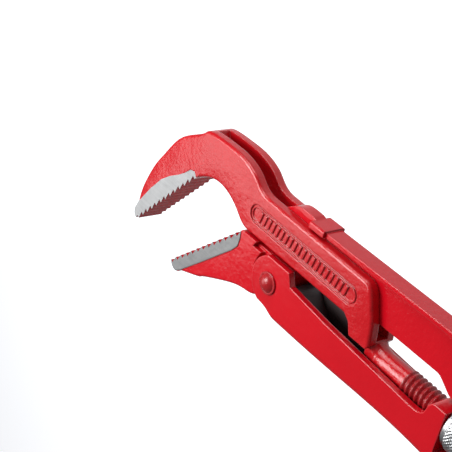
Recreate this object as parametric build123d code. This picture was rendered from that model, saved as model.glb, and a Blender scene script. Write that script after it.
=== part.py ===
"""Swedish-pattern pipe wrench, 2 inch size: S-shaped 45 degree jaws, forged legs, screw-set hook jaw.

Working frame while modelling: the pivot axis is Z through X = Y = 0, Z = 0 is the mid-plane of the
tool, +X runs along the handles to their ends and the jaws are at -X. At the end everything is moved
so that the origin is the bottom centre of the whole tool as it lies flat.
"""

from build123d import *
from math import cos, hypot, radians, sin
import os

# Driving dimensions, millimetres
CHEEK_OUT = 11.75           # half width over the lower leg's two cheeks
CHEEK_IN = 7.75             # half width between the cheeks
NECK = 7.5                  # half width of the upper leg between the cheeks
FORK_OUT = 10.0             # half width over the hook jaw's two plates
FORK_IN = 4.0               # half width of the slot between the plates
WEB = 3.75                  # half width of the upper leg where it passes through the fork
FLANGE = 5.75               # half width of the upper leg's top flange
BEARING = 7.75              # half width of the bearing block that holds the plates down
GRIP = 8.5                  # half width of both handles
GRIP_WEB = 2.75             # half width of the handles' web, between their rims
GRIP_RIM = 4.5              # height of the rims along the handles
HOOK_TAPER = 1.7            # degrees that each flank of the hook leans in from its crease to the nose
LOWER_JAW = 10.8            # half width of the painted lower jaw
LOWER_PAD = 11.2            # half width over the lower jaw's ground flanks
HOOK_PAD = 9.2              # half width over the hook jaw's ground flanks
LEG_END = 404.0             # X of the handles' ends

TOOTH_PITCH = 6.3
TOOTH_DEPTH = 2.4
HOOK_TEETH = 13
LOWER_TEETH = 13

PIVOT_R = 6.0
PIVOT_PLAY = 0.05
WASHER_R = 7.0
WASHER_T = 1.0
RIVET_HEAD_R = 5.6
RIVET_HEAD_H = 2.6

SPINDLE_Y = 3.2             # height of the spindle's axis above the pivot
SPINDLE_R = 7.3             # over the thread's crests
SPINDLE_NECK_R = 6.4        # of the plain neck before the thread
SPINDLE_ROOT = 80.0         # where the neck grows out of the tail block
THREAD_START = 106.0
SPINDLE_END = 235.5
NUT_PLAY = 0.06
NUT_R = 13.6
WALL_FRONT = (129.0, 140.0)
WALL_REAR = (169.0, 179.0)
NUT_SPAN = (140.5, 168.5)
STOP_PIN_R = 1.5
STOP_PIN_X = 230.0

LEAF_T = 1.2
LEAF_HALF_WIDTH = 6.4
LEAF_RIVET_X = 74.0
LEAF_RIVET_R = 2.0
CHANNEL_FLOOR = -11.0       # Y of the channel's floor, inside the lower leg

HANG_HOLE = (391.0, 37.2)   # X, Y of the hanging hole
HANG_HOLE_R = 4.5


def plate(outline, half_width):
    """A flat outline made into a plate that is centred on the mid-plane."""
    return extrude(outline, amount=half_width, both=True)


def polygon(*points):
    return make_face(Polyline(*points, close=True))


def outline_face(*lines):
    """A face bounded by lines and curves that are given in order, end to end."""
    return make_face(Curve() + list(lines))


def slab(x, y, z):
    """A box between low and high limits in each direction."""
    centre = [(low + high) / 2 for low, high in (x, y, z)]
    return Pos(*centre) * Box(x[1] - x[0], y[1] - y[0], z[1] - z[0])


def rim_edges(body, levels, x=(-1e3, 1e3), y=(-1e3, 1e3)):
    """Edges that lie in one of the Z levels, with their middle inside the X and Y limits."""
    found = []
    for edge in body.edges():
        box = edge.bounding_box()
        flat = box.max.Z - box.min.Z < 0.01
        middle = edge.position_at(0.5)
        on_level = any(abs(abs(box.min.Z) - level) < 0.01 for level in levels)
        if flat and on_level and x[0] < middle.X < x[1] and y[0] < middle.Y < y[1]:
            found.append(edge)
    return found


def tooth_cutter(start, end, count, side, steep_at_start):
    """The notches of one row of teeth, as a prism that is cut away from the jaw.

    side is +1 if the free space is on the left of the line from start to end, and -1 on its right.
    """
    length = hypot(end[0] - start[0], end[1] - start[1])
    along = ((end[0] - start[0]) / length, (end[1] - start[1]) / length)
    free = (-along[1] * side, along[0] * side)

    def at(distance, height):
        return (
            start[0] + along[0] * distance + free[0] * height,
            start[1] + along[1] * distance + free[1] * height,
        )

    points = [at(-4, 12), at(-4, 0)]
    for tooth in range(count):
        low = tooth * TOOTH_PITCH
        root = low + (0.4 if steep_at_start else TOOTH_PITCH - 0.4)
        points += [at(low, 0), at(root, -TOOTH_DEPTH)]
    points += [at(count * TOOTH_PITCH, 0), at(count * TOOTH_PITCH, 12)]
    return plate(polygon(*points), 30)


# ---------------------------------------------------------------- hook jaw with its spindle

HOOK_TOOTH_START = (-87.6, 21.2)
HOOK_TOOTH_END = (-139.0, -36.0)
HOOK_GROUND_FLANK = polygon(
    (-146, -34),
    (-141.5, -24),
    (-136, -16),
    (-130.5, -8),
    (-125.5, -2),
    (-121, 3.5),
    (-113, 10),
    (-103.5, 16),
    (-98, 20.2),
    (-93, 25),
    (-88, 26.2),
    (-85.6, 23),
    (-86, 18),
    (-137, -39),
)


def hook_outline():
    """Outer curve from the nose over the back to the tail, then the throat and the tooth line."""
    back = Spline(
        (-144.4, -30.5),
        (-142.8, -15),
        (-138.5, -3.4),
        (-132.5, 8.8),
        (-123.4, 22),
        (-108, 40.3),
        (-88, 52.4),
        (-63, 57.8),
        tangents=((-0.05, 1), (1, 0)),
    )
    shoulder = Spline((-63, 57.8), (-46, 56.8), (-33, 52.2), (-16, 44.9), tangents=((1, 0), (1, -0.02)))
    top = Line((-16, 44.9), (65.6, 43.1))
    tail = Spline((65.6, 43.1), (72.4, 39.3), (76.8, 29), (81, 11), tangents=((1, -0.02), (0.12, -1)))
    under = Polyline((81, 11), (79.4, 8.6), (66.5, 8.6), (63.4, 15.6), (60.6, 17.6), (-31, 17.6))
    throat = Spline(
        (-31, 17.6), (-42.9, 23.8), (-53, 29.2), (-63, 31.1), (-73, 29.6), HOOK_TOOTH_START,
        tangents=((-1, 0.1), (-0.75, -0.66)),
    )
    teeth = Line(HOOK_TOOTH_START, HOOK_TOOTH_END)
    nose = Spline(HOOK_TOOTH_END, (-142.6, -35.6), (-144.4, -30.5), tangents=((-1, -0.3), (-0.05, 1)))
    return outline_face(back, shoulder, top, tail, under, throat, teeth, nose)


def hook_taper(side):
    """The wedge that thins the hook from its crease towards the nose."""
    crease_top = Vector(-88, 52.4, side * FORK_OUT)
    crease_low = Vector(-78.5, 28.5, side * FORK_OUT)
    along = (crease_low - crease_top).normalized()
    to_nose = Vector(-abs(along.Y), -abs(along.X), 0)
    tilt = radians(HOOK_TAPER)
    normal = to_nose * sin(tilt) + Vector(0, 0, side * cos(tilt))
    level = Plane(origin=crease_top, x_dir=along, z_dir=normal)
    towards = 1 if level.y_dir.dot(to_nose) > 0 else -1
    return level * (Pos(20, towards * 70, 5) * Box(220, 140, 10))


def hook_back_edges(jaw):
    """The two long edges along the back of the hook, between the nose and the crease."""
    found = []
    for edge in jaw.edges():
        middle = edge.position_at(0.5)
        outside = hypot(middle.X + 75, middle.Y + 10) > 56
        if edge.length > 60 and outside and middle.X < -90 and abs(middle.Z) > 5:
            found.append(edge)
    return found


def marking_recess(side):
    """The long oval recess on the outer face of one plate, and its row of plain raised bars."""
    face = side * FORK_OUT
    middle = Pos(17.4, 30.6, face) * Rot(0, 0, -1.2)
    recess = middle * extrude(SlotOverall(95, 12), amount=0.9, both=True)
    lip_ring = SlotOverall(92.6, 9.6) - SlotOverall(91, 8.0)
    lip = middle * Pos(0, 0, -side * 0.6) * extrude(lip_ring, amount=0.4, both=True)
    bars = [
        middle * Pos(4.0 * (i - 9.5), 0, -side * 0.55) * Rot(0, 0, -12) * Box(1.8, 6.6, 0.9)
        for i in range(20)
    ]
    return recess, lip, bars


def make_hook_jaw():
    """Forged in one piece: the S-shaped jaw, its two plates, the tail block and the screwed spindle."""
    jaw = plate(hook_outline(), FORK_OUT)
    for side in (1, -1):
        jaw -= hook_taper(side)
    jaw = fillet(hook_back_edges(jaw) + rim_edges(jaw, [FORK_OUT], x=(-90, 82), y=(19, 60)), 2.0)
    slot = polygon(
        (-84, 64), (-77, 52), (-71, 40), (-67.5, 24), (-30, 0), (66, 0), (66, 12.4), (100, 12.4), (100, 70)
    )
    jaw -= plate(slot, FORK_IN)
    for side in (1, -1):
        recess, lip, bars = marking_recess(side)
        jaw -= recess
        jaw += bars
        jaw += lip
    jaw -= plate(HOOK_GROUND_FLANK, 2 * FORK_OUT) - plate(HOOK_GROUND_FLANK, HOOK_PAD)
    jaw += plate(HOOK_GROUND_FLANK, HOOK_PAD) & plate(hook_outline(), FORK_OUT)
    jaw -= tooth_cutter(HOOK_TOOTH_START, HOOK_TOOTH_END, HOOK_TEETH, 1, True)
    spindle = Plane.YZ.offset(THREAD_START) * Pos(SPINDLE_Y, 0) * Circle(SPINDLE_R)
    spindle = extrude(spindle, amount=SPINDLE_END - THREAD_START)
    spindle = chamfer(spindle.edges().sort_by(Axis.X)[-1], 1.4)
    spindle = chamfer(spindle.edges().sort_by(Axis.X)[0], SPINDLE_R - SPINDLE_NECK_R)
    neck = Plane.YZ.offset(SPINDLE_ROOT) * Pos(SPINDLE_Y, 0) * Circle(SPINDLE_NECK_R)
    spindle += extrude(neck, amount=THREAD_START + 1 - SPINDLE_ROOT)
    flare = outline_face(
        Polyline((89, SPINDLE_NECK_R), (89, 0), (77, 0), (77, 12), (78, 12)),
        Spline((78, 12), (81, 8.4), (89, SPINDLE_NECK_R), tangents=((0.3, -1), (1, -0.05))),
    )
    flare = Pos(0, SPINDLE_Y, 0) * revolve(flare, Axis.X)
    above_cheeks = slab((76, 91), (8.7, 20), (-FORK_OUT, FORK_OUT))
    between_cheeks = slab((76, 91), (0, 8.7), (-SPINDLE_NECK_R, SPINDLE_NECK_R))
    flare &= above_cheeks + between_cheeks
    flare -= plate(slot, FORK_IN)
    pin_hole = Pos(STOP_PIN_X, SPINDLE_Y, 0) * Cylinder(STOP_PIN_R, 40)
    return jaw + flare + spindle - pin_hole


# ---------------------------------------------------------------- upper leg with the lower jaw

LOWER_TOOTH_START = (-32.8, 16.2)
LOWER_TOOTH_END = (-92.4, -39.6)
LOWER_GROUND_FLANK = polygon(
    (-95, -38),
    (-91, -46),
    (-86, -44.6),
    (-81.6, -41.6),
    (-60, -21.6),
    (-37.6, -0.4),
    (-33.2, 5),
    (-32.4, 11),
    (-33.6, 18),
)


def lower_jaw_outline():
    teeth = Line(LOWER_TOOTH_END, LOWER_TOOTH_START)
    top = Polyline(LOWER_TOOTH_START, (-31.5, 16.5), (-18.4, 16.5), (-20.6, 12.6), (-12.6, 12.6))
    seat = ThreePointArc((-12.6, 12.6), (-15.9, 2.5), (-9.2, -14.2))
    under = Spline((-9.2, -14.2), (-13.5, -16.2), (-21, -17.6), (-41, -24.4), (-61, -34), (-82, -42.4),
                   tangents=((-1, -0.6), (-1, -0.36)))
    tip = ThreePointArc((-82, -42.4), (-89.6, -43.6), LOWER_TOOTH_END)
    return outline_face(teeth, top, seat, under, tip)


def upper_web_outline():
    """The middle plate: it rises from the pivot through the fork and runs out along the handle."""
    head = Spline((-19, 31), (-8, 44.5), (1, 49.6), (9, 50.4), tangents=((0.2, 1), (1, 0)))
    top = Polyline((9, 50.4), (14, 50.2), (20, 48.4), (152, 48.4), (152, 23.4), (150, 23))
    guard = Spline((150, 23), (141, 21), (135, 15.8), (129.6, 18.4), (124, 22.2), (118, 22.7),
                   tangents=((-1, 0), (-1, 0)))
    belly = Polyline(
        (118, 22.7), (20, 22.7), (14.5, 21), (12, 16), (12, -6), (-22, -10), (-22, 18), (-19, 31)
    )
    return outline_face(head, top, guard, belly)


def upper_grip_outline():
    """Side view of the handle behind the guard, with a round end."""
    top = Line((150, 48.4), (LEG_END - 11, 48.4))
    end = ThreePointArc((LEG_END - 11, 48.4), (LEG_END, 37.4), (LEG_END - 11, 26.4))
    low = Spline((LEG_END - 11, 26.4), (270, 26), (150, 23), tangents=((-1, 0), (-1, -0.05)))
    return outline_face(top, end, low, Line((150, 23), (150, 48.4)))


def upper_grip_pocket():
    """The hollow between the rims on each flank of the handle."""
    low_y, high_y = 23.2 + GRIP_RIM + 2.6, 48.4 - GRIP_RIM
    middle = (low_y + high_y) / 2
    width = high_y - low_y
    return Pos((166 + 372) / 2, middle) * SlotOverall(372 - 166, width)


def make_upper_leg():
    """Forged in one piece: lower jaw, pivot neck, the plate through the fork, top flange and handle."""
    jaw = plate(lower_jaw_outline(), LOWER_JAW)
    jaw = fillet(rim_edges(jaw, [LOWER_JAW], x=(-84, -22), y=(-40, -15)), 1.6)
    jaw += plate(LOWER_GROUND_FLANK, LOWER_PAD) & plate(lower_jaw_outline(), LOWER_PAD)
    jaw -= tooth_cutter(LOWER_TOOTH_START, LOWER_TOOTH_END, LOWER_TEETH, -1, False)
    neck = plate(polygon((-24, -13), (-10, -13.8), (12, -8), (12, 14.5), (-24, 14.5)), NECK)
    web = plate(upper_web_outline(), WEB)
    flange_plan = polygon(
        (13, -WEB),
        (20, -FLANGE),
        (120, -FLANGE),
        (175, -GRIP),
        (175, GRIP),
        (120, FLANGE),
        (20, FLANGE),
        (13, WEB),
    )
    flange = Pos(0, 48.4, 0) * Rot(90, 0, 0) * extrude(flange_plan, amount=2.8)
    bearing = slab((16, 28), (45.6, 49.4), (-BEARING, BEARING))
    bearing = fillet(bearing.edges().filter_by(Axis.X).group_by(Axis.Y)[-1], 1.2)
    grip = plate(upper_grip_outline(), GRIP)
    grip_plan = polygon(
        (148, -WEB), (175, -GRIP), (LEG_END + 5, -GRIP), (LEG_END + 5, GRIP), (175, GRIP), (148, WEB)
    )
    grip &= Pos(0, 60, 0) * Rot(90, 0, 0) * extrude(grip_plan, amount=60)
    for side in (1, -1):
        pocket = extrude(upper_grip_pocket(), amount=GRIP)
        grip -= Pos(0, 0, GRIP_WEB if side > 0 else -GRIP_WEB - GRIP) * pocket
    leg = jaw + neck + web + flange + bearing + grip
    leg -= Cylinder(PIVOT_R + PIVOT_PLAY, 60)
    leg -= Pos(*HANG_HOLE, 0) * Cylinder(HANG_HOLE_R, 60)
    return leg


# ---------------------------------------------------------------- lower leg

def lower_leg_front_outline():
    """Side view of the channel, the nut housing and its two walls."""
    wall_f, wall_r = WALL_FRONT, WALL_REAR
    nose = ThreePointArc((-5, 15.5), (-15.2, 0), (-6, -14.2))
    heel = Spline((-6, -14.2), (2, -15.2), (12, -20.2), tangents=((1, -0.1), (1, -0.6)))
    belly = Spline(
        (12, -20.2), (60, -19.4), (110, -18), (150, -20.6), (192, -27.5), tangents=((1, 0), (1, -0.2))
    )
    rear = Polyline((192, -27.5), (196, -9), (192, -7.6))
    ramp = Spline((192, -7.6), (184, 0), (wall_r[1] - 1, 12.6), tangents=((-1, 0.15), (-1, 0.5)))
    top = Polyline(
        (wall_r[1] - 1, 12.6), (wall_r[0], 12.6), (wall_r[0], -8.6), (wall_f[1], -8.6), (wall_f[1], 12.6),
        (wall_f[0] + 4, 12.6),
    )
    rise = Spline((wall_f[0] + 4, 12.6), (wall_f[0] - 1.5, 4.5), (118, 1.7), tangents=((-1, 0), (-1, 0.03)))
    cheek = Polyline((118, 1.7), (50, 5), (18, 8), (14.4, 15.5), (-5, 15.5))
    return outline_face(nose, heel, belly, rear, ramp, top, rise, cheek)


def lower_grip_outline():
    top = Spline((190, -8.4), (250, -13), (320, -21), (LEG_END - 10, -29.4), tangents=((1, -0.04), (1, -0.1)))
    end = ThreePointArc((LEG_END - 10, -29.4), (LEG_END - 0.6, -40), (LEG_END - 11, -50.4))
    low = Spline(
        (LEG_END - 11, -50.4), (320, -43), (250, -35), (190, -27.2), tangents=((-1, 0.1), (-1, 0.14))
    )
    return outline_face(top, end, low, Line((190, -27.2), (190, -8.4)))


def lower_grip_pocket():
    points = [(208, -13.2, -26.2), (260, -18.6, -32), (320, -25.6, -39), (376, -32.4, -44.4)]
    top = Spline(*[(x, high - GRIP_RIM + 3) for x, high, low in points])
    low = Spline(*[(x, low + GRIP_RIM - 3) for x, high, low in reversed(points)])
    far = ThreePointArc(top @ 1, (381, -39), low @ 0)
    near = ThreePointArc(low @ 1, (203, -19.2), top @ 0)
    return outline_face(top, far, low, near)


def make_lower_leg():
    """Forged in one piece: two cheeks, the channel for the spindle, the nut housing and the handle."""
    front = plate(lower_leg_front_outline(), CHEEK_OUT)
    front = fillet(rim_edges(front, [CHEEK_OUT], x=(20, 190), y=(-30, -13)), 4.0)
    plan = polygon(
        (-20, -CHEEK_OUT), (176, -CHEEK_OUT), (200, -GRIP), (200, GRIP), (176, CHEEK_OUT), (-20, CHEEK_OUT)
    )
    front &= Pos(0, 40, 0) * Rot(90, 0, 0) * extrude(plan, amount=80)
    channel_end = WALL_FRONT[0]
    channel = polygon(
        (-30, 30),
        (-30, -30),
        (13, -30),
        (19, CHANNEL_FLOOR),
        (channel_end, CHANNEL_FLOOR),
        (channel_end, 30),
    )
    front -= plate(channel, CHEEK_IN)
    front -= slab((WALL_FRONT[1], WALL_REAR[0]), (CHANNEL_FLOOR, 30), (-CHEEK_OUT - 1, CHEEK_OUT + 1))
    bore = Plane.YZ.offset(120) * Pos(SPINDLE_Y, 0) * Circle(SPINDLE_R + 0.35)
    front -= extrude(bore, amount=70)
    grip = plate(lower_grip_outline(), GRIP)
    for side in (1, -1):
        pocket = extrude(lower_grip_pocket(), amount=GRIP)
        grip -= Pos(0, 0, GRIP_WEB if side > 0 else -GRIP_WEB - GRIP) * pocket
    leg = front + grip
    leg -= Cylinder(PIVOT_R, 60)
    leg -= Pos(LEAF_RIVET_X, CHANNEL_FLOOR, 0) * Rot(90, 0, 0) * Cylinder(LEAF_RIVET_R, 30)
    return leg


# ---------------------------------------------------------------- nut, rivets, leaf spring, stop pin

def make_nut():
    nut = Plane.YZ.offset(NUT_SPAN[0]) * Pos(SPINDLE_Y, 0) * Circle(NUT_R)
    nut = extrude(nut, amount=NUT_SPAN[1] - NUT_SPAN[0])
    nut = chamfer(nut.edges(), 1.2)
    bore = Plane.YZ.offset(NUT_SPAN[0] - 1) * Pos(SPINDLE_Y, 0) * Circle(SPINDLE_R + NUT_PLAY)
    return nut - extrude(bore, amount=NUT_SPAN[1] - NUT_SPAN[0] + 2)


def make_pivot_rivet():
    under_head = CHEEK_OUT + WASHER_T
    rivet = Cylinder(PIVOT_R - 0.4, 2 * under_head)
    rivet += Cylinder(PIVOT_R, 2 * CHEEK_OUT)
    ball_r = (RIVET_HEAD_R**2 + RIVET_HEAD_H**2) / (2 * RIVET_HEAD_H)
    for side in (1, -1):
        dome = Pos(0, 0, side * (under_head + RIVET_HEAD_H - ball_r)) * Sphere(ball_r)
        dome &= Pos(0, 0, side * (under_head + RIVET_HEAD_H)) * Box(40, 40, 2 * RIVET_HEAD_H)
        rivet += dome
    return rivet


def make_rivet_washer(side):
    ring = Cylinder(WASHER_R, WASHER_T) - Cylinder(PIVOT_R - 0.4, WASHER_T)
    ring = chamfer(ring.edges().filter_by(GeomType.CIRCLE).sort_by(SortBy.RADIUS)[-2:], 0.3)
    return Pos(0, 0, side * (CHEEK_OUT + WASHER_T / 2)) * ring


def make_leaf_spring():
    """A bent strip: its flat foot is riveted to the channel's floor and its free end stands up."""
    foot_y = CHANNEL_FLOOR + LEAF_T / 2
    path = FilletPolyline(
        (80, foot_y), (52, foot_y), (36, -6.6), (23, 6.2), (15.4, 5.4), radius=[20, 14, 5], close=False
    )
    strip = trace(path, LEAF_T)
    leaf = plate(strip, LEAF_HALF_WIDTH)
    return leaf - Pos(LEAF_RIVET_X, CHANNEL_FLOOR, 0) * Rot(90, 0, 0) * Cylinder(LEAF_RIVET_R, 30)


def make_leaf_rivet():
    """Its head holds the leaf's foot down, and its shank is peened over level with the leg's belly."""
    foot_top = CHANNEL_FLOOR + LEAF_T
    shank_end = -19.0
    shank = Cylinder(LEAF_RIVET_R, foot_top - shank_end)
    head = Cylinder(3.4, 1.3)
    head = fillet(head.edges().sort_by(Axis.Z)[0], 0.9)
    lying = Pos(LEAF_RIVET_X, 0, 0) * Rot(90, 0, 0)
    return lying * (Pos(0, 0, -(foot_top + shank_end) / 2) * shank + Pos(0, 0, -foot_top - 0.65) * head)


def make_stop_pin():
    pin = Cylinder(STOP_PIN_R, 2 * SPINDLE_R + 5)
    pin = fillet(pin.edges(), 0.4)
    return Pos(STOP_PIN_X, SPINDLE_Y, 0) * pin


# ---------------------------------------------------------------- everything together

def make_all():
    return {
        "upper_leg": make_upper_leg(),
        "lower_leg": make_lower_leg(),
        "hook_jaw": make_hook_jaw(),
        "adjusting_nut": make_nut(),
        "pivot_rivet": make_pivot_rivet(),
        "rivet_washer_front": make_rivet_washer(1),
        "rivet_washer_rear": make_rivet_washer(-1),
        "leaf_spring": make_leaf_spring(),
        "leaf_spring_rivet": make_leaf_rivet(),
        "spindle_stop_pin": make_stop_pin(),
    }


def write_parts():
    nodes = make_all()
    whole = Compound(children=[node.moved(Location((0, 0, 0))) for node in nodes.values()])
    box = whole.bounding_box()
    shift = Vector(-box.center().X, -box.center().Y, -box.min.Z)
    os.makedirs("parts", exist_ok=True)
    for name, node in nodes.items():
        export_step(Pos(shift) * node, f"parts/{name}.step")
    print("size", box.size, "pivot axis at", shift)


write_parts()
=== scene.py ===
import bmesh
import bpy
import math
from mathutils import Matrix, Vector


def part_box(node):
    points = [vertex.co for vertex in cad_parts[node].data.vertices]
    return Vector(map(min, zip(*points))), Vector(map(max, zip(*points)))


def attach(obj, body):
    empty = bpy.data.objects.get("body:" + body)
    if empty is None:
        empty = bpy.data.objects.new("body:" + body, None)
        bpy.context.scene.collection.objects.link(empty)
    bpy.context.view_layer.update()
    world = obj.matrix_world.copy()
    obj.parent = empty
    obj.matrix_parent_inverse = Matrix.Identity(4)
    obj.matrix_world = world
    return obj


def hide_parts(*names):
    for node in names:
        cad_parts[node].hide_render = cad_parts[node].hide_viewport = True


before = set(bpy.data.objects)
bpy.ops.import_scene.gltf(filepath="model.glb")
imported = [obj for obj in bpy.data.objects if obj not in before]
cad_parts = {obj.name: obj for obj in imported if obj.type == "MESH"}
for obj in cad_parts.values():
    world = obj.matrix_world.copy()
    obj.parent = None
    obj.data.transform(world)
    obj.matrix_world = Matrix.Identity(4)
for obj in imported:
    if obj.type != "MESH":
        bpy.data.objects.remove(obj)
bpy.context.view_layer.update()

# ---------------------------------------------------------------- upper leg with the lower jaw
# A drop forging of tool steel in one piece: lower jaw, pivot neck, top flange and handle. It is
# powder painted red all over, and then the two flanks beside the teeth are ground bare.
MM = 0.001
rivet_low, rivet_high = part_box("pivot_rivet")
pivot = (rivet_low + rivet_high) / 2


def place(x, y, z):
    """A point in millimetres from the middle of the pivot: X along the tool, Y across, Z its thickness."""
    return pivot + Vector((x, y, z)) * MM


def node(tree, kind, inputs=None, **settings):
    """A new node, with each input set to a value or joined to the socket that is given for it."""
    made = tree.nodes.new(kind)
    for name, value in settings.items():
        setattr(made, name, value)
    for name, value in (inputs or {}).items():
        if isinstance(value, bpy.types.NodeSocket):
            tree.links.new(value, made.inputs[name])
        else:
            made.inputs[name].default_value = value
    return made


def group(name, kind, inputs, outputs):
    """An empty node group with named sockets, and its two ends."""
    tree = bpy.data.node_groups.new(name, kind)
    for socket, form in inputs:
        tree.interface.new_socket(socket, in_out="INPUT", socket_type=form)
    for socket, form in outputs:
        tree.interface.new_socket(socket, in_out="OUTPUT", socket_type=form)
    return tree, node(tree, "NodeGroupInput").outputs, node(tree, "NodeGroupOutput").inputs


def sums(tree, operation, *values):
    """A Math node's answer for one, two or three values."""
    return node(tree, "ShaderNodeMath", dict(enumerate(values)), operation=operation).outputs[0]


def blend_colour(tree, factor, low, high):
    mix = node(tree, "ShaderNodeMix", {0: factor, 6: low, 7: high}, data_type="RGBA")
    return mix.outputs[2]


def blend_value(tree, factor, low, high):
    mix = node(tree, "ShaderNodeMix", {0: factor, 2: low, 3: high}, data_type="FLOAT")
    return mix.outputs[0]


# Forged skin under thick paint: slow swells from the die, and the fine peel of the powder coat.
forged_skin, given, wanted = group(
    "forged_skin",
    "ShaderNodeTree",
    [("Place", "NodeSocketVector"), ("Swell", "NodeSocketFloat"), ("Peel", "NodeSocketFloat")],
    [("Height", "NodeSocketFloat"), ("Patches", "NodeSocketFloat"), ("Speckle", "NodeSocketFloat")],
)
swell = node(forged_skin, "ShaderNodeTexNoise", {"Vector": given["Place"], "Scale": 95.0, "Detail": 3.0})
dents = node(forged_skin, "ShaderNodeTexNoise", {"Vector": given["Place"], "Scale": 330.0, "Detail": 2.0})
peel = node(forged_skin, "ShaderNodeTexNoise", {"Vector": given["Place"], "Scale": 1150.0, "Detail": 2.0})
patches = node(forged_skin, "ShaderNodeTexNoise", {"Vector": given["Place"], "Scale": 38.0, "Detail": 4.0})
swell_level = sums(forged_skin, "SUBTRACT", swell.outputs[0], 0.5)
dents_level = sums(forged_skin, "SUBTRACT", dents.outputs[0], 0.5)
peel_level = sums(forged_skin, "SUBTRACT", peel.outputs[0], 0.5)
low_and_wide = sums(forged_skin, "MULTIPLY", swell_level, given["Swell"])
small_dents = sums(forged_skin, "MULTIPLY", dents_level, given["Swell"])
fine = sums(forged_skin, "MULTIPLY", peel_level, given["Peel"])
broad = sums(forged_skin, "MULTIPLY_ADD", small_dents, 0.7, low_and_wide)
forged_skin.links.new(sums(forged_skin, "ADD", broad, fine), wanted["Height"])
forged_skin.links.new(patches.outputs[0], wanted["Patches"])
forged_skin.links.new(peel.outputs[0], wanted["Speckle"])

# Paint rounds off every sharp edge and lies thinner there. The edge mask lightens the colour there, partly
# for the thinner paint and partly as a painted highlight on the rounded edges.
soft_edge, given, wanted = group(
    "soft_edge",
    "ShaderNodeTree",
    [("Radius", "NodeSocketFloat")],
    [("Normal", "NodeSocketVector"), ("Edge", "NodeSocketFloat")],
)
rounded = node(soft_edge, "ShaderNodeBevel", {"Radius": given["Radius"]}, samples=6)
flat = node(soft_edge, "ShaderNodeNewGeometry")
turned = node(soft_edge, "ShaderNodeVectorMath", {0: rounded.outputs[0], 1: flat.outputs["Normal"]},
              operation="DOT_PRODUCT")
edge = node(soft_edge, "ShaderNodeMapRange", {0: turned.outputs["Value"], 1: 0.995, 2: 0.8, 3: 0.0, 4: 1.0})
soft_edge.links.new(rounded.outputs[0], wanted["Normal"])
soft_edge.links.new(edge.outputs[0], wanted["Edge"])


def painted(name, colour, roughness, swell_mm=0.16, peel_mm=0.02, edge_mm=1.1, thin_and_highlight=0.45):
    """Thick gloss paint on a forging. Returns the material, its tree, its shader and its Object place."""
    material = bpy.data.materials.new(name)
    material.use_nodes = True
    tree = material.node_tree
    shader = tree.nodes["Principled BSDF"]
    where = node(tree, "ShaderNodeTexCoord").outputs["Object"]
    skin = node(tree, "ShaderNodeGroup", node_tree=forged_skin)
    tree.links.new(where, skin.inputs["Place"])
    skin.inputs["Swell"].default_value = swell_mm * MM
    skin.inputs["Peel"].default_value = peel_mm * MM
    edges = node(tree, "ShaderNodeGroup", node_tree=soft_edge)
    edges.inputs["Radius"].default_value = edge_mm * MM
    red, green, blue = colour
    deep = (red * 0.8, green * 0.7, blue * 0.75, 1)
    thin_paint_and_highlight = (min(1, red * 1.25), green + 0.09, blue + 0.09, 1)
    clear = blend_colour(tree, skin.outputs["Patches"], (red, green, blue, 1), deep)
    body = blend_colour(tree, sums(tree, "MULTIPLY", skin.outputs["Speckle"], 0.3), clear, deep)
    # Lighter colour along the edges: thinner paint, and partly a painted highlight on the rounded edges.
    body = blend_colour(tree, sums(tree, "MULTIPLY", edges.outputs["Edge"], thin_and_highlight), body, thin_paint_and_highlight)
    tree.links.new(body, shader.inputs["Base Color"])
    gloss = node(tree, "ShaderNodeMapRange",
                 {0: skin.outputs["Speckle"], 1: 0.3, 2: 0.7, 3: roughness - 0.03, 4: roughness + 0.04})
    tree.links.new(gloss.outputs[0], shader.inputs["Roughness"])
    shader.inputs["Metallic"].default_value = 0.0
    bump = node(tree, "ShaderNodeBump", {
        "Height": skin.outputs["Height"],
        "Normal": edges.outputs["Normal"],
        "Distance": 1.0,
        "Strength": 1.0,
    })
    tree.links.new(bump.outputs[0], shader.inputs["Normal"])
    return material, tree, shader, where


def cover(tree, shader, mask, colour, roughness, metallic):
    """Lays another finish over the material's own where the mask is 1."""
    finish = {"Base Color": colour, "Roughness": roughness, "Metallic": metallic}
    for name, value in finish.items():
        socket = shader.inputs[name]
        under = socket.links[0].from_socket if socket.is_linked else socket.default_value
        blend = blend_colour if name == "Base Color" else blend_value
        tree.links.new(blend(tree, mask, under, value), socket)


# Grinding leaves fine lines, so the bare steel is lighter and darker by turns across them.
ground_steel, given, wanted = group(
    "ground_steel",
    "ShaderNodeTree",
    [("Place", "NodeSocketVector"), ("Turn", "NodeSocketFloat"), ("Light", "NodeSocketFloat")],
    [("Color", "NodeSocketColor"), ("Roughness", "NodeSocketFloat")],
)
turn = node(ground_steel, "ShaderNodeCombineXYZ", {2: given["Turn"]})
lying = node(ground_steel, "ShaderNodeMapping",
             {"Vector": given["Place"], "Rotation": turn.outputs[0], "Scale": (60.0, 1500.0, 60.0)})
lines = node(ground_steel, "ShaderNodeTexNoise", {"Vector": lying.outputs[0], "Scale": 1.0, "Detail": 4.0})
stains = node(ground_steel, "ShaderNodeTexNoise", {"Vector": given["Place"], "Scale": 110.0, "Detail": 3.0})
fine_lines = sums(ground_steel, "MULTIPLY", lines.outputs[0], 0.6)
mottle = sums(ground_steel, "MULTIPLY_ADD", stains.outputs[0], 0.4, fine_lines)
tone = node(ground_steel, "ShaderNodeMapRange", {0: mottle, 1: 0.3, 2: 0.7, 3: 0.82, 4: 1.15})
level = sums(ground_steel, "MULTIPLY", tone.outputs[0], given["Light"])
green_level = sums(ground_steel, "MULTIPLY", level, 1.01)
blue_level = sums(ground_steel, "MULTIPLY", level, 1.02)
steel = node(ground_steel, "ShaderNodeCombineColor", {0: level, 1: green_level, 2: blue_level})
ground_steel.links.new(steel.outputs[0], wanted["Color"])
rub = node(ground_steel, "ShaderNodeMapRange", {0: lines.outputs[0], 1: 0.3, 2: 0.7, 3: 0.38, 4: 0.56})
ground_steel.links.new(rub.outputs[0], wanted["Roughness"])


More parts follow.
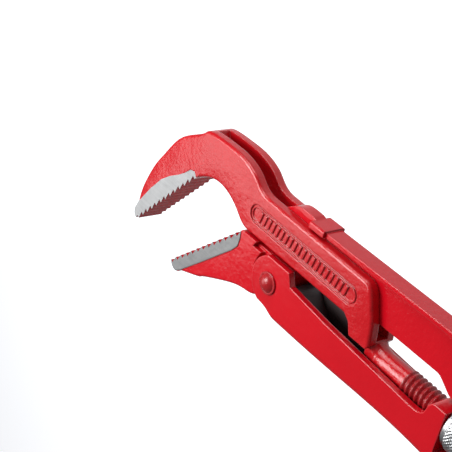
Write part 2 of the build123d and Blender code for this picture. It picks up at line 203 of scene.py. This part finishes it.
def away_from_middle(tree, where):
    """How far a point is from the tool's middle plane, in metres."""
    apart = node(tree, "ShaderNodeSeparateXYZ", {0: where})
    return apart, sums(tree, "ABSOLUTE", sums(tree, "SUBTRACT", apart.outputs["Z"], pivot.z))


RED = (0.62, 0.004, 0.0125)
TOOTH_LINE = math.radians(43.1)
lower_flank_level = 11.0
upper_paint, tree, shader, where = painted("red_paint_upper", RED, 0.15, swell_mm=0.2, peel_mm=0.04)
apart, out = away_from_middle(tree, where)
flank = sums(tree, "GREATER_THAN", out, lower_flank_level * MM)
steel = node(tree, "ShaderNodeGroup", node_tree=ground_steel)
tree.links.new(where, steel.inputs["Place"])
steel.inputs["Turn"].default_value = -TOOTH_LINE
steel.inputs["Light"].default_value = 0.27
cover(tree, shader, flank, steel.outputs["Color"], steel.outputs["Roughness"], 0.5)
shader.inputs["Specular IOR Level"].default_value = 0.38
upper_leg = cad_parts["upper_leg"]
for slot in upper_leg.material_slots:
    slot.material = upper_paint

# ---------------------------------------------------------------- lower leg
# The second forging: two cheeks on the pivot, a channel for the spindle, the nut's housing and the other
# handle. Paint hardly reaches into the channel, which stays black from the heat treatment; its near-black
# colour also stands as painted shade, since little light gets into the deep channel.
channel_end = 128.9
channel_half = 7.8
channel_floor = -11.2
lower_paint, tree, shader, where = painted("red_paint_lower", RED, 0.16, swell_mm=0.12, peel_mm=0.02)
apart, out = away_from_middle(tree, where)
inside = sums(tree, "LESS_THAN", out, channel_half * MM)
before_wall = sums(tree, "LESS_THAN", apart.outputs["X"], place(channel_end, 0, 0).x)
over_floor = sums(tree, "GREATER_THAN", apart.outputs["Y"], place(0, channel_floor, 0).y)
channel_scale_and_shade = sums(tree, "MULTIPLY", sums(tree, "MULTIPLY", inside, before_wall), over_floor)
# Near-black inside the channel: dark heat-treatment scale, and painted shade for the deep channel.
cover(tree, shader, channel_scale_and_shade, (0.07, 0.05, 0.052, 1), 0.6, 0.0)
lower_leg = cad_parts["lower_leg"]
for slot in lower_leg.material_slots:
    slot.material = lower_paint

# ---------------------------------------------------------------- hook jaw
# The third forging: the S-shaped jaw with its two plates, and the spindle in one piece with it. The
# marking stands in an oval recess on both sides. Its screwed end is cut off here and made below.
THREAD_START = 106.0
HOOK_TOOTH_LINE = math.radians(48.1)
hook_pad_level = 9.2
hook_pad_end = -80.0
hook_paint, tree, shader, where = painted(
    "red_paint_hook", (0.58, 0.006, 0.012), 0.2, swell_mm=0.34, peel_mm=0.09, thin_and_highlight=0.5
)
bare_steel = bpy.data.materials.new("ground_flank")
bare_steel.use_nodes = True
tree = bare_steel.node_tree
shader = tree.nodes["Principled BSDF"]
steel = node(tree, "ShaderNodeGroup", node_tree=ground_steel)
tree.links.new(node(tree, "ShaderNodeTexCoord").outputs["Object"], steel.inputs["Place"])
steel.inputs["Turn"].default_value = -HOOK_TOOTH_LINE
steel.inputs["Light"].default_value = 0.41
tree.links.new(steel.outputs["Color"], shader.inputs["Base Color"])
tree.links.new(steel.outputs["Roughness"], shader.inputs["Roughness"])
shader.inputs["Metallic"].default_value = 0.5


def smooth_shell(piece, sharp_degrees):
    """Smooth shading, except over edges that turn by more than the angle."""
    piece.data.shade_smooth()
    piece.data.set_sharp_from_angle(angle=math.radians(sharp_degrees))


hook_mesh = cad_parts["hook_jaw"].data.copy()
hook_mesh.name = "hook_forging"
shell = bmesh.new()
shell.from_mesh(hook_mesh)
bmesh.ops.remove_doubles(shell, verts=shell.verts, dist=1e-6)
bmesh.ops.bisect_plane(
    shell,
    geom=shell.verts[:] + shell.edges[:] + shell.faces[:],
    plane_co=place(THREAD_START, 0, 0),
    plane_no=(1, 0, 0),
    clear_outer=True,
)
bmesh.ops.holes_fill(shell, edges=[e for e in shell.edges if e.is_boundary])
for face in shell.faces:
    middle = face.calc_center_median()
    level = abs(middle.z - pivot.z) / MM
    flat_flank = abs(abs(face.normal.z) - 1) < 1e-4 and abs(level - hook_pad_level) < 0.02
    face.material_index = 1 if flat_flank and middle.x < place(hook_pad_end, 0, 0).x else 0
bmesh.ops.recalc_face_normals(shell, faces=shell.faces)
hook_mesh.materials.clear()
hook_mesh.materials.append(hook_paint)
hook_mesh.materials.append(bare_steel)
shell.to_mesh(hook_mesh)
shell.free()
hook_forging = bpy.data.objects.new("hook_forging", hook_mesh)
bpy.context.scene.collection.objects.link(hook_forging)
if "custom_normal" in hook_mesh.attributes:
    hook_mesh.attributes.remove(hook_mesh.attributes["custom_normal"])
smooth_shell(hook_forging, 32)
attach(hook_forging, "hook_jaw")
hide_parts("hook_jaw")

# ---------------------------------------------------------------- spindle thread
# A rounded rolled thread on the end of the hook jaw's spindle, which the nut draws along. It is painted
# with the jaw, so the paint has filled its corners; its red is darker than the jaw's, as painted shade
# where it lies in the channel between the cheeks.
spindle_axis = 3.2
spindle_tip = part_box("hook_jaw")[1].x


def settle(host):
    """Turns an object's Geometry Nodes into a plain mesh, with its faces outwards."""
    graph = bpy.context.evaluated_depsgraph_get()
    host.data = bpy.data.meshes.new_from_object(host.evaluated_get(graph))
    host.modifiers.clear()
    shell = bmesh.new()
    shell.from_mesh(host.data)
    bmesh.ops.recalc_face_normals(shell, faces=shell.faces)
    shell.to_mesh(host.data)
    shell.free()


def feed(host, tree, values):
    """Puts a Geometry Nodes tree on an object, with its named inputs set."""
    modifier = host.modifiers.new(tree.name, "NODES")
    modifier.node_group = tree
    for socket in tree.interface.items_tree:
        if socket.in_out == "INPUT" and socket.name in values:
            modifier[socket.identifier] = values[socket.name]


screw, given, wanted = group(
    "screw_thread",
    "GeometryNodeTree",
    [("Start", "NodeSocketFloat"), ("Length", "NodeSocketFloat"), ("Crest Radius", "NodeSocketFloat"),
     ("Depth", "NodeSocketFloat"), ("Pitch", "NodeSocketFloat"), ("Chamfer", "NodeSocketFloat"),
     ("Axis", "NodeSocketVector"), ("Rows", "NodeSocketInt"), ("Spokes", "NodeSocketInt"),
     ("Material", "NodeSocketMaterial")],
    [("Geometry", "NodeSocketGeometry")],
)
sheet = node(screw, "GeometryNodeMeshGrid",
             {"Size X": 1.0, "Size Y": 1.0, "Vertices X": given["Rows"], "Vertices Y": given["Spokes"]})
spot = node(screw, "ShaderNodeSeparateXYZ", {0: node(screw, "GeometryNodeInputPosition").outputs[0]})
run = sums(screw, "ADD", spot.outputs["X"], 0.5)
turn = sums(screw, "ADD", spot.outputs["Y"], 0.5)
gone = sums(screw, "MULTIPLY", run, given["Length"])
angle = sums(screw, "MULTIPLY", turn, math.tau)
turns = sums(screw, "SUBTRACT", sums(screw, "DIVIDE", gone, given["Pitch"]), turn)
phase = sums(screw, "MULTIPLY", turns, math.tau)
wave = sums(screw, "MULTIPLY_ADD", sums(screw, "COSINE", phase), 0.5, 0.5)
ridge = sums(screw, "POWER", wave, 0.62)
run_in = sums(screw, "DIVIDE", gone, sums(screw, "MULTIPLY", given["Pitch"], 1.1))
run_in = sums(screw, "MINIMUM", run_in, 1.0)
valley = sums(screw, "SUBTRACT", 1.0, ridge)
cut_depth = sums(screw, "MULTIPLY", sums(screw, "MULTIPLY", valley, given["Depth"]), run_in)
radius = sums(screw, "SUBTRACT", given["Crest Radius"], cut_depth)
left = sums(screw, "SUBTRACT", given["Length"], gone)
cone = sums(screw, "ADD", sums(screw, "SUBTRACT", given["Crest Radius"], given["Chamfer"]), left)
radius = sums(screw, "MINIMUM", radius, cone)
not_start = sums(screw, "GREATER_THAN", run, 1e-5)
not_tip = sums(screw, "LESS_THAN", run, 0.99999)
radius = sums(screw, "MULTIPLY", sums(screw, "MULTIPLY", radius, not_start), not_tip)
spoke = node(screw, "ShaderNodeCombineXYZ", {
    0: sums(screw, "ADD", gone, given["Start"]),
    1: sums(screw, "MULTIPLY", radius, sums(screw, "COSINE", angle)),
    2: sums(screw, "MULTIPLY", radius, sums(screw, "SINE", angle)),
})
moved = node(screw, "ShaderNodeVectorMath", {0: spoke.outputs[0], 1: given["Axis"]}, operation="ADD")
rolled = node(screw, "GeometryNodeSetPosition",
              {"Geometry": sheet.outputs["Mesh"], "Position": moved.outputs[0]})
closed = node(screw, "GeometryNodeMergeByDistance", {"Geometry": rolled.outputs[0], "Distance": 2e-6})
real = node(screw, "GeometryNodeRealizeInstances", {"Geometry": closed.outputs[0]})
coated = node(screw, "GeometryNodeSetMaterial",
              {"Geometry": real.outputs[0], "Material": given["Material"]})
screw.links.new(coated.outputs[0], wanted["Geometry"])

# The thread's red is darker than the hook's: painted shade for the thread lying between the cheeks.
shaded_thread_paint, tree, shader, where = painted(
    "red_paint_thread", (0.34, 0.010, 0.014), 0.28, swell_mm=0.05, peel_mm=0.02, edge_mm=0.3, thin_and_highlight=0.3
)
spindle_thread = bpy.data.objects.new("spindle_thread", bpy.data.meshes.new("spindle_thread"))
bpy.context.scene.collection.objects.link(spindle_thread)
thread_from = place(THREAD_START - 0.3, 0, 0).x
feed(spindle_thread, screw, {
    "Start": thread_from,
    "Length": spindle_tip - thread_from,
    "Crest Radius": 7.3 * MM,
    "Depth": 1.35 * MM,
    "Pitch": 3.35 * MM,
    "Chamfer": 1.4 * MM,
    "Axis": (0.0, place(0, spindle_axis, 0).y, pivot.z),
    "Rows": 500,
    "Spokes": 57,
    "Material": shaded_thread_paint,
})
settle(spindle_thread)
smooth_shell(spindle_thread, 50)
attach(spindle_thread, "hook_jaw")

# ---------------------------------------------------------------- adjusting nut
# A turned steel nut, zinc plated, with a diamond knurl rolled round its middle for the fingers. It is
# caught in the lower leg's housing and runs on the spindle's thread.
nut_low, nut_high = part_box("adjusting_nut")
nut_outer = (nut_high.z - nut_low.z) / 2 / MM
bore = 7.42
collar = nut_outer - 1.0
collar_width = 3.0
chamfer = 1.0
nut_length = (nut_high.x - nut_low.x) / MM
band = (3.6, nut_length - 3.6)
band_rows = 56
turned_profile = [(0, bore), (0, collar - chamfer), (chamfer, collar), (collar_width, collar)]
turned_profile += [
    (band[0] + (band[1] - band[0]) * row / band_rows, nut_outer) for row in range(band_rows + 1)
]
turned_profile += [
    (nut_length - collar_width, collar),
    (nut_length - chamfer, collar),
    (nut_length, collar - chamfer),
    (nut_length, bore),
]
nut_spokes = 240
shell = bmesh.new()
rings = []
for along, radius in turned_profile:
    ring = []
    for spoke in range(nut_spokes):
        angle = math.tau * spoke / nut_spokes
        ring.append(shell.verts.new((
            nut_low.x + along * MM,
            place(0, spindle_axis, 0).y + radius * MM * math.cos(angle),
            pivot.z + radius * MM * math.sin(angle),
        )))
    rings.append(ring)
for one, other in zip(rings, rings[1:] + rings[:1]):
    for spoke in range(nut_spokes):
        after = (spoke + 1) % nut_spokes
        shell.faces.new((one[spoke], one[after], other[after], other[spoke]))
nut_mesh = bpy.data.meshes.new("knurled_nut")
shell.to_mesh(nut_mesh)
shell.free()

knurl, given, wanted = group(
    "diamond_knurl",
    "GeometryNodeTree",
    [("Geometry", "NodeSocketGeometry"), ("Axis", "NodeSocketVector"), ("Band Radius", "NodeSocketFloat"),
     ("Grooves", "NodeSocketInt"), ("Lead", "NodeSocketFloat"), ("Depth", "NodeSocketFloat"),
     ("Material", "NodeSocketMaterial")],
    [("Geometry", "NodeSocketGeometry")],
)
from_axis = node(knurl, "ShaderNodeVectorMath", {0: node(knurl, "GeometryNodeInputPosition").outputs[0],
                                                 1: given["Axis"]}, operation="SUBTRACT")
spot = node(knurl, "ShaderNodeSeparateXYZ", {0: from_axis.outputs[0]})
bearing = sums(knurl, "ARCTAN2", spot.outputs["Z"], spot.outputs["Y"])
round_by = sums(knurl, "MULTIPLY", bearing, given["Grooves"])
slant = sums(knurl, "MULTIPLY", sums(knurl, "DIVIDE", spot.outputs["X"], given["Lead"]), math.tau)
right_hand = sums(knurl, "MULTIPLY", sums(knurl, "ADD", round_by, slant), 0.5)
left_hand = sums(knurl, "MULTIPLY", sums(knurl, "SUBTRACT", round_by, slant), 0.5)
one_way = sums(knurl, "ABSOLUTE", sums(knurl, "SINE", right_hand))
other_way = sums(knurl, "ABSOLUTE", sums(knurl, "SINE", left_hand))
valley = sums(knurl, "SUBTRACT", 1.0, sums(knurl, "MINIMUM", one_way, other_way))
across = node(knurl, "ShaderNodeCombineXYZ", {1: spot.outputs["Y"], 2: spot.outputs["Z"]})
size = node(knurl, "ShaderNodeVectorMath", {0: across.outputs[0]}, operation="LENGTH")
just_under = sums(knurl, "SUBTRACT", given["Band Radius"], 2e-5)
on_band = sums(knurl, "GREATER_THAN", size.outputs["Value"], just_under)
inward = node(knurl, "ShaderNodeVectorMath", {0: across.outputs[0]}, operation="NORMALIZE")
press = sums(knurl, "MULTIPLY", sums(knurl, "MULTIPLY", valley, given["Depth"]), -1.0)
push = node(knurl, "ShaderNodeVectorMath", {0: inward.outputs[0], "Scale": press}, operation="SCALE")
pressed = node(knurl, "GeometryNodeSetPosition",
               {"Geometry": given["Geometry"], "Selection": on_band, "Offset": push.outputs[0]})
real = node(knurl, "GeometryNodeRealizeInstances", {"Geometry": pressed.outputs[0]})
plated = node(knurl, "GeometryNodeSetMaterial",
              {"Geometry": real.outputs[0], "Material": given["Material"]})
knurl.links.new(plated.outputs[0], wanted["Geometry"])


def metal(name, colour, roughness, metallic, tone_amount=0.25, edge_mm=0.5):
    """Bare, plated or blackened steel with a mottled tone, a fine grain and soft edges."""
    material = bpy.data.materials.new(name)
    material.use_nodes = True
    tree = material.node_tree
    shader = tree.nodes["Principled BSDF"]
    where = node(tree, "ShaderNodeTexCoord").outputs["Object"]
    skin = node(tree, "ShaderNodeGroup", node_tree=forged_skin)
    tree.links.new(where, skin.inputs["Place"])
    skin.inputs["Peel"].default_value = 0.012 * MM
    edges = node(tree, "ShaderNodeGroup", node_tree=soft_edge)
    edges.inputs["Radius"].default_value = edge_mm * MM
    cloud = node(tree, "ShaderNodeTexNoise", {"Vector": where, "Scale": 240.0, "Detail": 4.0})
    dark = tuple(c * (1 - tone_amount) for c in colour) + (1,)
    light = tuple(min(1, c * (1 + tone_amount)) for c in colour) + (1,)
    body = blend_colour(tree, cloud.outputs[0], dark, light)
    rubbed = tuple(min(1, c * 1.5 + 0.05) for c in colour) + (1,)
    body = blend_colour(tree, sums(tree, "MULTIPLY", edges.outputs["Edge"], 0.6), body, rubbed)
    tree.links.new(body, shader.inputs["Base Color"])
    gloss = node(tree, "ShaderNodeMapRange",
                 {0: cloud.outputs[0], 1: 0.3, 2: 0.7, 3: roughness - 0.08, 4: roughness + 0.08})
    tree.links.new(gloss.outputs[0], shader.inputs["Roughness"])
    shader.inputs["Metallic"].default_value = metallic
    bump = node(tree, "ShaderNodeBump", {
        "Height": skin.outputs["Height"],
        "Normal": edges.outputs["Normal"],
        "Distance": 1.0,
        "Strength": 1.0,
    })
    tree.links.new(bump.outputs[0], shader.inputs["Normal"])
    return material


zinc = metal("zinc_plate", (0.52, 0.53, 0.54), 0.34, 1.0)
knurled_nut = bpy.data.objects.new("knurled_nut", nut_mesh)
bpy.context.scene.collection.objects.link(knurled_nut)
feed(knurled_nut, knurl, {
    "Axis": (nut_low.x, place(0, spindle_axis, 0).y, pivot.z),
    "Band Radius": nut_outer * MM,
    "Grooves": 40,
    "Lead": 2.1 * MM,
    "Depth": 0.6 * MM,
    "Material": zinc,
})
settle(knurled_nut)
smooth_shell(knurled_nut, 38)
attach(knurled_nut, "adjusting_nut")
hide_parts("adjusting_nut")

# ---------------------------------------------------------------- pivot rivet and its washers
# A steel rivet through both cheeks, with a round head formed over a washer on each side, and painted
# with the legs. The hammered heads are a little uneven and the paint is thin on top of them.
rivet_paint, tree, shader, where = painted(
    "red_paint_rivet", (0.42, 0.012, 0.016), 0.24, swell_mm=0.22, peel_mm=0.03, edge_mm=0.5, thin_and_highlight=0.3
)
for name in ("pivot_rivet", "rivet_washer_front", "rivet_washer_rear"):
    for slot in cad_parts[name].material_slots:
        slot.material = rivet_paint

# ---------------------------------------------------------------- leaf spring, its rivet, stop pin
# A bent leaf of blued spring steel lies in the channel and opens the handles. The pin through the end
# of the spindle is bright, and keeps the nut from running off.
blued = metal("blued_steel", (0.06, 0.047, 0.049), 0.52, 0.2, tone_amount=0.5, edge_mm=0.4)
bright = metal("bright_steel", (0.6, 0.6, 0.61), 0.26, 1.0, edge_mm=0.3)
for name in ("leaf_spring", "leaf_spring_rivet"):
    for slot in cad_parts[name].material_slots:
        slot.material = blued
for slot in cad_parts["spindle_stop_pin"].material_slots:
    slot.material = bright

# ---------------------------------------------------------------- camera, light and floor
# A long lens looks down on the head of the tool from the handles' end. The key and the sheen stand
# above and beyond the jaws; the top light shines on the hook's back and the flange. The floor is low.
bpy.context.scene.view_settings.view_transform = "Standard"
cheek_face = 11.75
camera_data = bpy.data.cameras.new("camera")
camera_data.lens = 86.0
camera_data.sensor_width = 36.0
camera_data.clip_start = 0.01
camera = bpy.data.objects.new("camera", camera_data)
right = Vector((0.56560, 0.19107, -0.80224))
up = Vector((-0.49137, 0.85934, -0.14176))
back = Vector((0.66231, 0.47438, 0.57993))
camera.matrix_world = (
    Matrix.Translation(place(379.2, 316.2, 372.5 + cheek_face))
    @ Matrix((right, up, back)).transposed().to_4x4()
)
bpy.context.scene.collection.objects.link(camera)
bpy.context.scene.camera = camera

world = bpy.data.worlds.new("studio")
world.use_nodes = True
world.node_tree.nodes["Background"].inputs["Color"].default_value = (0.96, 0.98, 1.0, 1.0)
world.node_tree.nodes["Background"].inputs["Strength"].default_value = 0.16
bpy.context.scene.world = world


def soft_box(name, at, aim, size, power):
    """A rectangular studio light at a point, facing another."""
    data = bpy.data.lights.new(name, "AREA")
    data.shape = "RECTANGLE"
    data.size, data.size_y = size
    data.energy = power
    lamp = bpy.data.objects.new(name, data)
    lamp.location = at
    lamp.rotation_euler = (aim - at).to_track_quat("-Z", "Y").to_euler()
    bpy.context.scene.collection.objects.link(lamp)
    return lamp


soft_box("key", place(-409, 181, 847), place(20, 0, 0), (0.55, 0.55), 10.4)
soft_box("sheen", place(-640, -168, 560), place(-60, 30, 0), (0.5, 0.45), 1.5)
soft_box("top_light", place(-250, 1000, 330), place(0, 20, 0), (0.6, 0.5), 5.8)

floor_drop = 0.25
reach = 8.0
floor_mesh = bpy.data.meshes.new("floor")
corners = [(x * reach, y * reach, -floor_drop) for x, y in ((-1, -1), (1, -1), (1, 1), (-1, 1))]
floor_mesh.from_pydata(corners, [], [(0, 1, 2, 3)])
floor = bpy.data.objects.new("floor", floor_mesh)
bpy.context.scene.collection.objects.link(floor)
floor_paint = bpy.data.materials.new("pale_floor")
floor_paint.use_nodes = True
shader = floor_paint.node_tree.nodes["Principled BSDF"]
shader.inputs["Base Color"].default_value = (0.66, 0.665, 0.68, 1)
shader.inputs["Roughness"].default_value = 0.95
shader.inputs["Emission Color"].default_value = (0.96, 0.97, 1.0, 1)
seen = node(floor_paint.node_tree, "ShaderNodeLightPath").outputs["Is Camera Ray"]
glow = sums(floor_paint.node_tree, "MULTIPLY", seen, 0.66)
floor_paint.node_tree.links.new(glow, shader.inputs["Emission Strength"])
floor_mesh.materials.append(floor_paint)
